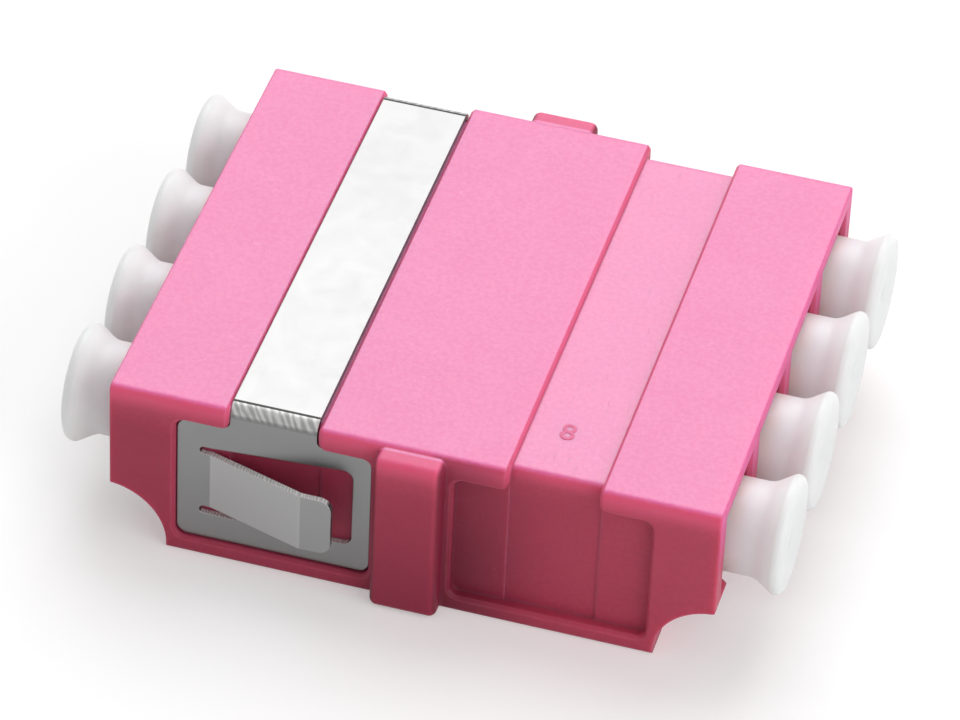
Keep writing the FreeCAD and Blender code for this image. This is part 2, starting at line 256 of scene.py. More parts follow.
def rub_marks():
    """Fine marks that all run one way, where another part has slid along the surface."""
    tree, given, made = new_group(
        "Rub marks",
        [("Stretch", PLACE, (6.0, 0.4, 6.0)), ("Amount", NUMBER, 0.5)],
        [("Marks", NUMBER), ("Height", NUMBER)],
    )
    places = millimetres(tree)
    pulled = stretched(tree, places, given["Stretch"])
    lines = noise(tree, pulled, detail=4.0, roughness=0.65, distortion=0.3)
    where = fade(tree, noise(tree, places, 0.35), 0.4, 0.65)
    reach = changed(tree, 0.74, (given["Amount"], -0.2))
    marks = product(tree, fade(tree, lines, reach, calc(tree, "ADD", reach, 0.08)), where)
    feed(tree, made.inputs, {"Marks": marks, "Height": lines})
    return tree


def sheared_edge():
    """The ridges that a die leaves where it cuts or folds sheet metal."""
    tree, given, made = new_group(
        "Sheared edge",
        [("Ridge Width", NUMBER, 0.28), ("Lean", NUMBER, 0.3)],
        [("Ridges", NUMBER), ("Height", NUMBER)],
    )
    x, y, z = axes(tree, millimetres(tree))
    inward = calc(tree, "SUBTRACT", z, unsigned(tree, y))
    across = changed(tree, x, (inward, given["Lean"]))
    lengthwise = product(tree, inward, 0.25)
    along = add(tree, "ShaderNodeCombineXYZ", {0: across, 1: lengthwise, 2: 0.0}).outputs[0]
    wander = noise(tree, along, 1.2)
    turns = calc(tree, "DIVIDE", changed(tree, across, (wander, 0.6)), given["Ridge Width"])
    wave = calc(tree, "SINE", product(tree, turns, math.tau))
    torn = noise(tree, along, calc(tree, "DIVIDE", 1.6, given["Ridge Width"]), detail=3.0, roughness=0.6)
    ridges = changed(tree, torn, (wave, 0.22))
    feed(tree, made.inputs, {"Ridges": fade(tree, ridges, 0.2, 0.85), "Height": ridges})
    return tree


GROUP_MAKERS = {
    "Edges and corners": edges_and_corners,
    "Moulded skin": moulded_skin,
    "Rub marks": rub_marks,
    "Sheared edge": sheared_edge,
}


def effect(tree, name, **values):
    """A shared effect placed in a material with its own values. Returns its outputs."""
    group = bpy.data.node_groups.get(name) or GROUP_MAKERS[name]()
    placed = add(tree, "ShaderNodeGroup", node_tree=group)
    feed(tree, placed.inputs, values)
    return placed.outputs


def bumped(tree, height, normal, strength, distance=0.02 * MM):
    """The normal with a small relief on it."""
    return add(tree, "ShaderNodeBump",
               {"Strength": strength, "Distance": distance, "Height": height, "Normal": normal}).outputs[0]


def new_material(name, **fixed):
    """A material with one Principled shader, whose plain values are set on its own sockets."""
    material = bpy.data.materials.new(name)
    material.use_nodes = True
    tree = material.node_tree
    shader = tree.nodes["Principled BSDF"].inputs
    feed(tree, shader, fixed)
    return material, tree, shader


# ---- finishes ----

def housing_regions(tree, look):
    """Masks for the parts of the housing that differ in tone, and for its painted light and shade."""
    x, y, z = axes(tree, own_places(tree))
    normal = axes(tree, own_normal(tree))
    along, outward = unsigned(tree, x), unsigned(tree, y)
    endward, upward = unsigned(tree, normal[0]), normal[2]
    end, side, rib = housing_high.x, housing_high.y - look.rib_out, look.rib_half_width

    def below_top(start, end):
        """From 0 to 1 between two depths below the top face."""
        return fade(tree, z, housing_high.z - start, housing_high.z - end)

    on_rib = fade(tree, outward, side + 0.05 * MM, side + 0.15 * MM)
    off_rib = calc(tree, "SUBTRACT", 1.0, on_rib)
    return SimpleNamespace(
        on_rib=on_rib,
        on_top=product(tree, fade(tree, upward, 0.62, 0.98), below_top(1.2 * MM, 0.7 * MM)),
        channel=product(tree, fade(tree, upward, 0.9, 0.99), below_top(0.08 * MM, 0.22 * MM),
                        below_top(0.6 * MM, 0.5 * MM),
                        fade(tree, outward, side - 0.1 * MM, side - 0.15 * MM)),
        # thin: the band below the top edges, where light shining through the edges is painted as glow.
        thin=below_top(look.glow_reach, 0.2 * MM),
        low=below_top(0.5 * MM, look.shade_reach),
        foot=fade(tree, z, housing_high.z - 0.7 * MM, housing_low.z),
        side_shade=fade(tree, x, 0.0, look.far_side_reach, look.side_shade, look.far_side_shade),
        beside_rib=product(tree, fade(tree, x, look.beside_reach, rib + 0.15 * MM),
                           fade(tree, x, rib - 0.85 * MM, rib - 0.45 * MM),
                           fade(tree, outward, side - 1.5 * MM, side - 0.8 * MM), off_rib,
                           fade(tree, upward, -0.8, -0.4)),
        # Painted light: the port ends glow paler near the top.
        end_top=product(tree, below_top(look.end_glow_reach, 0.5 * MM), fade(tree, endward, 0.5, 0.9),
                        fade(tree, along, end - 0.4 * MM, end - 0.2 * MM), off_rib),
        flank=product(tree, on_rib, fade(tree, endward, 0.25, 0.8)),
    )


def housing_plastic(look):
    """Dyed moulding plastic: matt sides, a glossier coat on the upward faces, and painted light and shade
    over its colour.
    """
    material, tree, shader = new_material(
        "moulded housing plastic", IOR=1.5, Specular_IOR_Level=look.side_gloss, Coat_IOR=look.top_coat_ior,
        Coat_Roughness=look.top_coat_roughness, Subsurface_Weight=look.depth_weight,
        Subsurface_Radius=look.depth_by_colour, Subsurface_Scale=look.depth)
    shape = effect(tree, "Edges and corners", Edge_Radius=look.edge_radius, Corner_Reach=0.9 * MM)
    skin = effect(tree, "Moulded skin", Flow_Size=4.5, Speck_Size=0.36, Grain_Size=0.09)
    rubbed = effect(tree, "Rub marks", Stretch=(4.0, 0.5, 4.0), Amount=0.75)
    region = housing_regions(tree, look)
    # Upward faces: the coat on them is real gloss, and the lighter lilac colour laid on them is painted
    # sheen.
    top_gloss_and_painted_light = product(tree, region.on_top, between(tree, region.on_rib, 1.0, look.rib_bloom))
    side_shade = product(tree, region.low, region.side_shade)
    rib_shade = changed(tree, 0.0, (region.low, look.rib_shade), (region.foot, look.rib_foot_shade))
    beside_shade = fade(tree, region.foot, 0.0, 0.8, look.beside_shade, look.beside_foot_shade)
    pale_specks = between(tree, top_gloss_and_painted_light, look.side_specks, look.top_specks)
    colour = layered(
        tree, tint(tree, skin["Tone"], look.deep_colour, look.colour),
        # Painted light: a paler, redder glow down the sides from the top edges.
        (look.glow_colour, region.thin, look.glow),
        (look.dark_colour, between(tree, region.on_rib, side_shade, rib_shade), 1.0),
        (look.shadow_colour, region.beside_rib, beside_shade),
        # Painted glow on the port ends near the top.
        (look.bloom_colour, region.end_top, look.end_glow),
        (look.shadow_colour, region.flank, look.flank_shade),
        # Painted sheen: upward faces take a lighter lilac colour, which is weaker on the stop ribs' tops.
        (tint(tree, skin["Tone"], look.bloom_deep_colour, look.bloom_colour), top_gloss_and_painted_light, 1.0),
        (look.pale_colour, skin["Pale Specks"], pale_specks),
        (look.dark_colour, skin["Dark Specks"], look.dark_specks),
        (look.pale_colour, region.channel, look.channel_wear),
        (look.dark_colour, product(tree, rubbed["Marks"], region.channel), look.streaks),
        (look.pale_colour, shape["Edge"], look.edge_wear),
        (look.dark_colour, shape["Corner"], look.corner_shade),
    )
    gloss = between(tree, skin["Tone"], 0.86, 1.0)
    feed(tree, shader, {
        "Base Color": colour,
        "Roughness": changed(tree, look.roughness, (skin["Tone"], 0.06), (region.channel, -0.10),
                             (skin["Pale Specks"], 0.08)),
        "Coat Weight": product(tree, top_gloss_and_painted_light, gloss, look.top_coat),
        "Normal": bumped(tree, skin["Height"], shape["Normal"], 0.22),
    })
    return material


def number_plastic(look):
    """The housing's plastic on the raised number, rubbed matt."""
    material, tree, shader = new_material("matt number plastic", IOR=1.5, Specular_IOR_Level=0.3)
    skin = effect(tree, "Moulded skin", Flow_Size=1.2, Speck_Size=0.2, Grain_Size=0.06)
    rubbed = effect(tree, "Rub marks", Stretch=(4.0, 0.8, 4.0), Amount=0.6)
    colour = tint(tree, skin["Tone"], look.deep_colour, look.colour)
    feed(tree, shader, {
        "Base Color": layered(tree, colour, (look.rubbed_colour, rubbed["Marks"], 0.3)),
        "Roughness": changed(tree, 0.45, (skin["Flow"], 0.1)),
        "Normal": bumped(tree, skin["Height"], own_normal(tree), 0.15, 0.01 * MM),
    })
    return material


def clip_regions(tree, look):
    """Masks for the clip's strip, folds, cut edges and tongues."""
    place = axes(tree, own_places(tree))
    facing = [unsigned(tree, way) for way in axes(tree, own_normal(tree))]
    outward = unsigned(tree, place[1])
    drop = calc(tree, "SUBTRACT", clip_high.z, place[2])
    radius, face = look.fold_radius, look.fold_face
    fold_start = face - radius

    def round_fold(start, end):
        """From 0 to 1 between two depths below the strip, in shares of the fold's radius."""
        return fade(tree, drop, start * radius, end * radius)

    past_start = fade(tree, outward, fold_start, fold_start + 0.25 * radius)
    return SimpleNamespace(
        strip=fade(tree, facing[2], 0.6, 0.9),
        fold=product(tree, past_start, round_fold(0.95, 0.75)),
        under_fold=product(tree, past_start, round_fold(0.55, 0.75), round_fold(1.05, 0.85)),
        seam=product(tree, fade(tree, outward, fold_start - 0.03 * MM, fold_start),
                     fade(tree, outward, fold_start + 0.15 * MM, fold_start + 0.11 * MM)),
        cut=product(tree, past_start, fade(tree, facing[2], 0.6, 0.85), round_fold(1.0, 1.2)),
        bent=product(tree, fade(tree, facing[0], 0.04, 0.12), fade(tree, facing[1], 0.8, 0.93)),
        proud=fade(tree, outward, face + 0.05 * MM, face + 0.3 * MM),
    )


def spring_steel(look):
    """Rolled sheet: torn ridges on its folds and cut edges, with painted light on the strip, tongues,
    folds and cut edges and painted shade under the folds.
    """
    material, tree, shader = new_material("rolled spring steel")
    shape = effect(tree, "Edges and corners", Edge_Radius=look.edge_radius, Corner_Reach=0.6 * MM)
    rolled = effect(tree, "Rub marks", Stretch=(7.0, 0.5, 7.0), Amount=0.35)
    torn = effect(tree, "Sheared edge", Ridge_Width=look.ridge_width, Lean=look.ridge_lean)
    sheared = effect(tree, "Sheared edge", Ridge_Width=look.cut_ridge_width, Lean=0.1)
    region = clip_regions(tree, look)
    cloud = noise(tree, millimetres(tree), 0.6, detail=4.0, roughness=0.6, distortion=0.8)
    # Painted light: the tilted tongues and the parts standing out are a lighter steel, as better lit.
    painted_tongue_light = calc(tree, "MAXIMUM", product(tree, region.proud, 0.3), region.bent)
    colour = layered(
        tree, tint(tree, cloud, look.dark_colour, look.colour),
        (look.tongue_colour, painted_tongue_light, 1.0),
        # Painted light: the upward strip is a lighter steel, as lit from above.
        (layered(tree, look.strip_colour, (look.dark_colour, cloud, 0.5)), region.strip, 1.0),
        (look.dark_colour, rolled["Marks"], look.marks),
        # The fold's ridges are real marks, and their pale colours are painted highlight of light catching
        # the rounded fold.
        (tint(tree, torn["Ridges"], look.ridge_dark, look.ridge_bright), region.fold, look.torn),
        (look.shade_colour, region.under_fold, look.fold_shade),
        # Cut edges: the ridges are real, and their near-white colour, made matt, is painted highlight of
        # the lamp.
        (tint(tree, sheared["Ridges"], look.ridge_bright, look.cut_bright), region.cut, look.torn),
        # A dark line drawn along the start of each fold.
        (look.seam_colour, region.seam, look.seam),
        (look.ridge_bright, shape["Edge"], look.edge_wear),
        (look.shade_colour, shape["Corner"], look.corner_shade),
    )
    ragged = calc(tree, "MAXIMUM", region.fold, region.cut)
    relief = changed(tree, product(tree, torn["Height"], region.fold),
                     (product(tree, sheared["Height"], region.cut), 0.5), (rolled["Height"], 0.04))
    feed(tree, shader, {
        "Base Color": colour,
        "Roughness": changed(tree, look.roughness, (cloud, 0.10), (ragged, 0.12), (rolled["Marks"], 0.08)),
        "Metallic": changed(tree, 1.0, (region.cut, -look.cut_matt)),
        "Normal": bumped(tree, relief, shape["Normal"], 0.4),
    })
    return material


def soft_white_plastic(look):
    """Milky, slightly see-through plastic of the dust caps."""
    material, tree, shader = new_material(
        "milky cap plastic", IOR=1.5, Subsurface_Weight=look.depth_weight,
        Subsurface_Radius=look.depth_by_colour, Subsurface_Scale=look.depth)
    shape = effect(tree, "Edges and corners", Edge_Radius=0.12 * MM, Corner_Reach=0.7 * MM)
    skin = effect(tree, "Moulded skin", Flow_Size=2.2, Speck_Size=0.5, Grain_Size=0.12)
    turned = effect(tree, "Rub marks", Stretch=(0.6, 4.0, 4.0), Amount=0.3)
    outward = unsigned(tree, axes(tree, own_places(tree))[0])
    mouth = housing_high.x
    # Painted light: the housing's pink, seen through the cap near the port mouth, is painted into the
    # cap's colour.
    painted_port_glow = product(tree, fade(tree, outward, mouth + 0.9 * MM, mouth),
                        fade(tree, outward, mouth - 0.5 * MM, mouth))
    at_rim = fade(tree, outward, cap_high.x - 0.8 * MM, cap_high.x - 0.3 * MM)
    colour = layered(
        tree, tint(tree, skin["Flow"], look.deep_colour, look.colour),
        (look.stain_colour, painted_port_glow, between(tree, skin["Flow"], 0.25, 0.55)),
        # The last part of each cap, towards its rim, is drawn greyer.
        (look.rim_colour, at_rim, look.rim_shade),
        (look.deep_colour, shape["Corner"], look.corner_shade),
        (look.deep_colour, turned["Marks"], look.marks),
        (look.pale_colour, shape["Edge"], look.edge_wear),
    )
    feed(tree, shader, {
        "Base Color": colour,
        "Roughness": changed(tree, look.roughness, (skin["Flow"], 0.08), (turned["Marks"], 0.1)),
        "Normal": bumped(tree, skin["Height"], shape["Normal"], 0.10),
    })
    return material


def holder_plastic(look):
    """Natural engineering plastic of the sleeve holders."""
    material, tree, shader = new_material("natural holder plastic", IOR=1.52)
    shape = effect(tree, "Edges and corners", Edge_Radius=0.06 * MM, Corner_Reach=0.5 * MM)
    skin = effect(tree, "Moulded skin", Flow_Size=1.6, Speck_Size=0.25, Grain_Size=0.08)
    colour = layered(
        tree, tint(tree, skin["Flow"], look.holder_deep_colour, look.holder_colour),
        # Painted shade in the inside corners.
        (look.holder_dark_colour, shape["Corner"], 0.35),
        (look.holder_pale_colour, shape["Edge"], 0.3),
    )
    feed(tree, shader, {
        "Base Color": colour,
        "Roughness": changed(tree, 0.38, (skin["Flow"], 0.1)),
        "Normal": bumped(tree, skin["Height"], shape["Normal"], 0.15),
    })
    return material


def zirconia(look):
    """Polished white ceramic of the split sleeves."""
    material, tree, shader = new_material("zirconia ceramic", IOR=2.1)
    shape = effect(tree, "Edges and corners", Edge_Radius=0.03 * MM, Corner_Reach=0.3 * MM)
    ground = effect(tree, "Rub marks", Stretch=(14.0, 3.0, 3.0), Amount=0.4)
    colour = layered(
        tree, tint(tree, ground["Height"], look.ceramic_deep_colour, look.ceramic_colour),
        # Painted shade in the inside corners.
        (look.holder_dark_colour, shape["Corner"], 0.3),
        (look.ceramic_colour, shape["Edge"], 0.3),
    )
    feed(tree, shader, {
        "Base Color": colour,
        "Roughness": changed(tree, 0.12, (ground["Marks"], 0.15)),
        "Normal": bumped(tree, ground["Height"], shape["Normal"], 0.05, 0.01 * MM),
    })
    return material


def shows(tree):
    """1 for a ray that comes from the camera, or from it by way of metal or glass."""
    path = tree.nodes.new("ShaderNodeLightPath").outputs
    seen = calc(tree, "MAXIMUM", path["Is Camera Ray"], path["Is Glossy Ray"])
    return calc(tree, "MAXIMUM", seen, path["Is Transmission Ray"])


def floor_paper(look):
    """Matt pale paper that keeps the object's shadow."""
    material, tree, shader = new_material("studio paper", Roughness=0.9)
    fibres = noise(tree, millimetres(tree), 0.5, detail=3.0)
    feed(tree, shader, {
        "Base Color": layered(tree, look.floor_colour, (look.fibre_colour, fibres, 0.02)),
        "Emission Color": opaque(WHITE),
        "Emission Strength": product(tree, shows(tree), look.floor_lift),
    })
    return material


# ---- shapes ----

def new_piece(name, mesh, body):
    """A piece from a mesh, which rides on a body."""
    piece = bpy.data.objects.new(name, mesh)
    bpy.context.scene.collection.objects.link(piece)
    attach(piece, body)
    return piece


def dress(node, material):
    """Gives a CAD node its finish, with its round faces shaded smooth."""
    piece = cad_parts[node]
    piece.data.materials.clear()
    piece.data.materials.append(material)
    piece.data.shade_smooth()
    piece.data.set_sharp_from_angle(angle=SMOOTH_ANGLE)


def arc(centre, radius, start, end, steps):
    """Points on an arc in (length, radius) numbers, by its angles in degrees."""
    turns = [math.radians(start + (end - start) * i / steps) for i in range(steps + 1)]
    return [(centre[0] + radius * math.cos(t), centre[1] + radius * math.sin(t)) for t in turns]


def turned_mesh(name, profile, facets):
    """A mesh turned about the X axis from (x, radius) points. A radius of 0 closes an end."""
    shape = bmesh.new()
    turns = [math.tau * i / facets for i in range(facets)]
    rings = []
    for x, radius in profile:
        if radius == 0:
            rings.append([shape.verts.new((x, 0, 0))])
        else:
            rings.append([shape.verts.new((x, radius * math.cos(t), radius * math.sin(t))) for t in turns])
    for ring, following in zip(rings, rings[1:]):
        for i in range(facets):
            corners = [ring[i % len(ring)], ring[(i + 1) % len(ring)],
                       following[(i + 1) % len(following)], following[i % len(following)]]
            unlike = list(dict.fromkeys(corners))
            if len(unlike) > 2:
                shape.faces.new(unlike)
    bmesh.ops.recalc_face_normals(shape, faces=shape.faces)
    mesh = bpy.data.meshes.new(name)
    shape.to_mesh(mesh)
    shape.free()
    mesh.shade_smooth()
    return mesh


def bore_and_stem(look, cone_start, foot_run):
    """The cap's outline from the bottom of its blind bore, round the open end and along the stem."""
    inner, stem, bore = cap_low.x, look.stem_radius, look.bore_radius
    bottom = cap_high.x - look.floor
    lip, shoulder = look.bore_lip, look.stem_chamfer
    part_way = inner + 0.4 * (bottom - inner)
    points = [(bottom, 0.0), (bottom, bore / 2)]
    points += arc((bottom - lip, bore - lip), lip, 0, 90, steps=4)
    points += [(part_way, bore)]
    points += arc((inner + lip, bore + lip), lip, 270, 180, steps=4)
    points += arc((inner + shoulder, stem - shoulder), shoulder, 180, 90, steps=8)
    stem_start, stem_end = inner + shoulder, cone_start - foot_run
    spans = 6
    return points + [(stem_start + (stem_end - stem_start) * i / spans, stem) for i in range(1, spans)]


def dished_face(look, start):
    """The cap's outline from the rim in over the dished outer face to the gate mark in its middle."""
    gate, bottom = look.gate_radius, cap_high.x - look.dish
    end = gate + 0.12 * MM
    steps = 8
    points = []
    for i in range(1, steps + 1):
        way = i / steps
        sunk = look.dish * math.sin(way * math.pi / 2) ** 2
        points.append((cap_high.x - sunk, start + (end - start) * way))
    gate_top = bottom + look.gate_height
    foot, top_edge = (bottom + 0.6 * look.gate_height, gate + 0.03 * MM), (gate_top, gate - 0.04 * MM)
    crown, middle = (gate_top - 0.02 * MM, gate / 2), (gate_top - 0.03 * MM, 0.0)
    return points + [foot, top_edge, crown, middle]


def cap_profile(look):
    """The dust cap's outline from the bottom of its bore, out over the stem and rim to its dished face."""
    face, rim = cap_high.x, cap_rim_radius
    cone_end = face - look.rim_length
    cone_start = cone_end - look.cone_length
    slope = math.atan2(rim - look.stem_radius, look.cone_length)
    turn = math.degrees(slope)
    foot, back, edge = look.cone_foot_radius, look.rim_back_radius, look.rim_edge_radius
    foot_run, back_run = foot * math.tan(slope / 2), back * math.tan(slope / 2)
    points = bore_and_stem(look, cone_start, foot_run)
    points += arc((cone_start - foot_run, look.stem_radius + foot), foot, 270, 270 + turn, steps=8)
    points += arc((cone_end + back_run, rim - back), back, 90 + turn, 90, steps=6)
    points += arc((face - edge, rim - edge), edge, 90, 0, steps=10)
    return points + dished_face(look, rim - edge)


# ---- settings ----

def a_number(name, description, default, **settings):
    """A plain number that a user may change."""
    return FloatProperty(name=name, description=description, default=default, **settings)


def a_length(name, description, default):
    """A size."""
    return a_number(name, description, default, unit="LENGTH", subtype="DISTANCE", precision=5, min=0.0)


def a_place(name, description, default):
    """A place along one axis."""
    return a_number(name, description, default, unit="LENGTH", subtype="DISTANCE", precision=5)


def a_share(name, description, default):
    """A share from 0 to 1."""
    return a_number(name, description, default, subtype="FACTOR", min=0.0, max=1.0)


def an_angle(name, description, default):
    """An angle, given here in degrees."""
    return a_number(name, description, math.radians(default), unit="ROTATION", subtype="ANGLE")


def a_colour(name, description, default):
    """A colour."""
    return FloatVectorProperty(name=name, description=description, default=default, size=3,
                               subtype="COLOR", min=0.0, max=1.0)


class HousingLook(PropertyGroup):
    """Colours, skin and painted light and shade of the housing."""

    rib_out: a_length("Rib out", "How far a stop rib stands off the long side", 1.0 * MM)
    rib_half_width: a_length("Rib half width", "Half the width of a stop rib", 1.65 * MM)
    edge_radius: a_length("Edge radius", "How far the sharp edges are rounded", 0.22 * MM)
    colour: a_colour("Colour", "Colour of the plastic", (0.590, 0.078, 0.143))
    deep_colour: a_colour("Deep colour", "Colour where the dye is densest", (0.535, 0.067, 0.126))
    pale_colour: a_colour("Pale colour", "Colour of specks and rubbed edges", (0.95, 0.44, 0.62))
    dark_colour: a_colour("Dark colour", "Colour in corners, streaks and shade", (0.28, 0.020, 0.055))
    # The glow is painted light, shining through the top edges and down the sides.
    glow_colour: a_colour("Glow colour", "Colour near the thin top edges", (0.82, 0.125, 0.250))
    glow: a_share("Glow", "Strength of the colour near the top edges", 0.85)
    glow_reach: a_length("Glow reach", "How far the glow comes down the sides", 1.3 * MM)
    side_shade: a_share("Side shade", "Shade of the sides below the glow, at the clip's half", 0.50)
    far_side_shade: a_share("Far side shade", "Shade of the sides towards the other end", 0.08)
    far_side_reach: a_length("Far side reach", "From the middle to where the sides are light", 12.0 * MM)
    shade_reach: a_length("Shade reach", "How far below the top the sides are fully shaded", 2.4 * MM)
    rib_shade: a_share("Rib shade", "Shade of the stop ribs below the glow", 0.42)
    rib_foot_shade: a_share("Rib foot shade", "What the stop ribs' shade gains at the foot", 0.40)
    flank_shade: a_share("Flank shade", "Shade of the stop ribs' flanks", 0.85)
    beside_shade: a_share("Beside rib shade", "Shade beside a stop rib, near the top", 0.45)
    beside_foot_shade: a_share("Beside rib foot shade", "Shade beside a stop rib, at the foot", 0.80)
    beside_reach: a_length("Beside rib reach", "From the middle to where that shade ends", 7.0 * MM)
    shadow_colour: a_colour("Shadow colour", "Colour beside and on the flanks of the stop ribs",
                            (0.17, 0.012, 0.034))
    # The end glow is painted light on the port ends near the top.
    end_glow: a_share("End glow", "How pale the port ends are near the top", 0.7)
    end_glow_reach: a_length("End glow reach", "How far the glow comes down the port ends", 4.5 * MM)
    # Painted light: the lighter lilac colour of upward faces stands in for the lamp's sheen, and is weaker
    # on the ribs' tops.
    bloom_colour: a_colour("Bloom colour", "Colour of the upward faces", (0.80, 0.138, 0.395))
    bloom_deep_colour: a_colour("Bloom deep colour", "Upward faces, where the dye is densest",
                                (0.765, 0.104, 0.352))
    rib_bloom: a_share("Rib bloom", "Bloom on the stop ribs' tops", 0.22)
    top_specks: a_share("Top specks", "Strength of the pale specks on upward faces", 0.12)
    side_specks: a_share("Side specks", "Strength of the pale specks on the other faces", 0.03)
    dark_specks: a_share("Dark specks", "Strength of the dark specks", 0.10)
    channel_wear: a_share("Channel wear", "How pale the floor of the open channel is", 0.12)
    streaks: a_share("Streaks", "Strength of the dark streaks in the open channel", 0.18)
    edge_wear: a_share("Edge wear", "How pale the rubbed edges are", 0.22)
    corner_shade: a_share("Corner shade", "How dark the inside corners are", 0.3)
    roughness: a_share("Roughness", "How matt the plastic is", 0.45)
    side_gloss: a_share("Side gloss", "Strength of the plain surface's reflection", 0.25)
    top_coat: a_share("Bloom gloss", "Strength of the bloom on upward faces", 0.85)
    top_coat_ior: a_number("Bloom index", "Refraction index of the bloom", 1.7, min=1.0, max=3.0)
    top_coat_roughness: a_share("Bloom roughness", "How matt the bloom is", 0.32)
    depth: a_length("Depth", "How far light travels inside the plastic", 1.1 * MM)
    depth_by_colour: a_colour("Depth by colour", "Share of the depth that each colour reaches",
                              (1.0, 0.22, 0.32))
    depth_weight: a_share("Depth weight", "How much light travels inside the plastic", 0.7)


class MarkLook(PropertyGroup):
    """The plain cavity number in the open channel."""

    number: IntProperty(name="Number", description="Cavity number in the channel", default=8,
                        min=0, max=99)
    colour: a_colour("Colour", "Colour of the number", (0.86, 0.200, 0.380))
    deep_colour: a_colour("Deep colour", "Colour where the dye is densest", (0.76, 0.140, 0.290))
    rubbed_colour: a_colour("Rubbed colour", "Colour where the number is rubbed", (0.92, 0.36, 0.55))
    height: a_length("Height", "Height of the number", 1.1 * MM)
    relief: a_length("Relief", "How far the number stands up", 0.03 * MM)
    edge: a_length("Edge", "Rounding of the number's edges", 0.012 * MM)
    x: a_place("X", "Place along the fibre axis", 6.4 * MM)
    y: a_place("Y", "Place across the ports", -9.1 * MM)
    channel_depth: a_length("Channel depth", "How deep the channel is", 0.3 * MM)


class ClipLook(PropertyGroup):
    """Colours, cut edges and painted light and shade of the panel clip."""

    fold_radius: a_length("Fold radius", "Outside radius of the folds", 0.65 * MM)
    fold_face: a_length("Fold face", "From the middle to the side plate's face", 12.7 * MM)
    edge_radius: a_length("Edge radius", "How far the cut edges are rounded", 0.06 * MM)
    colour: a_colour("Plate colour", "Colour of the side plates", (0.272, 0.273, 0.272))
    dark_colour: a_colour("Dark colour", "Colour of cloudy patches and marks", (0.245, 0.247, 0.247))
    # Painted light: the strip's colour is a lighter copy of the same steel, as lit from above.
    strip_colour: a_colour("Strip colour", "Colour of the strip over the top", (0.330, 0.329, 0.329))
    # Painted light: the tongues' colour is a lighter copy of the same steel, as better lit.
    tongue_colour: a_colour("Tongue colour", "Colour of the sprung tongues", (0.385, 0.386, 0.385))
    marks: a_share("Marks", "Strength of the rolling marks", 0.25)
    torn: a_share("Torn edges", "Strength of the colours on folds and cut edges", 0.85)
    # The ridge colours are partly painted highlight, as light catching the rounded folds.
    ridge_bright: a_colour("Ridge colour", "Colour on top of the torn ridges", (0.54, 0.54, 0.535))
    ridge_dark: a_colour("Ridge gap colour", "Colour between the torn ridges", (0.29, 0.29, 0.285))
    ridge_width: a_number("Ridge width", "Width of a torn ridge in millimetres", 0.36, min=0.01)
    ridge_lean: a_number("Ridge lean", "Slant of the torn ridges", 0.42)
    # The cut edge colour and matt share are partly painted highlight of the lamp on the cut edges.
    cut_bright: a_colour("Cut edge colour", "Colour of fresh cut edges", (0.92, 0.92, 0.91))
    cut_matt: a_share("Cut edge matt", "How matt and bright the torn cut edges are", 0.85)
    cut_ridge_width: a_number("Cut ridge width", "Ridges on cut edges in millimetres", 0.14, min=0.01)
    # The line is drawn dark along the start of each fold.
    seam: a_share("Seam", "Strength of the line where a fold begins", 0.95)
    seam_colour: a_colour("Seam colour", "Colour of the line where a fold begins", (0.020, 0.019, 0.018))
    fold_shade: a_share("Fold shade", "Strength of the shade under a fold", 0.57)
    shade_colour: a_colour("Shade colour", "Colour under the folds and in corners", (0.12, 0.12, 0.12))
    corner_shade: a_share("Corner shade", "How dark the inside corners are", 0.35)
    edge_wear: a_share("Edge wear", "How bright the worn edges are", 0.4)
    roughness: a_share("Roughness", "How matt the sheet is", 0.26)


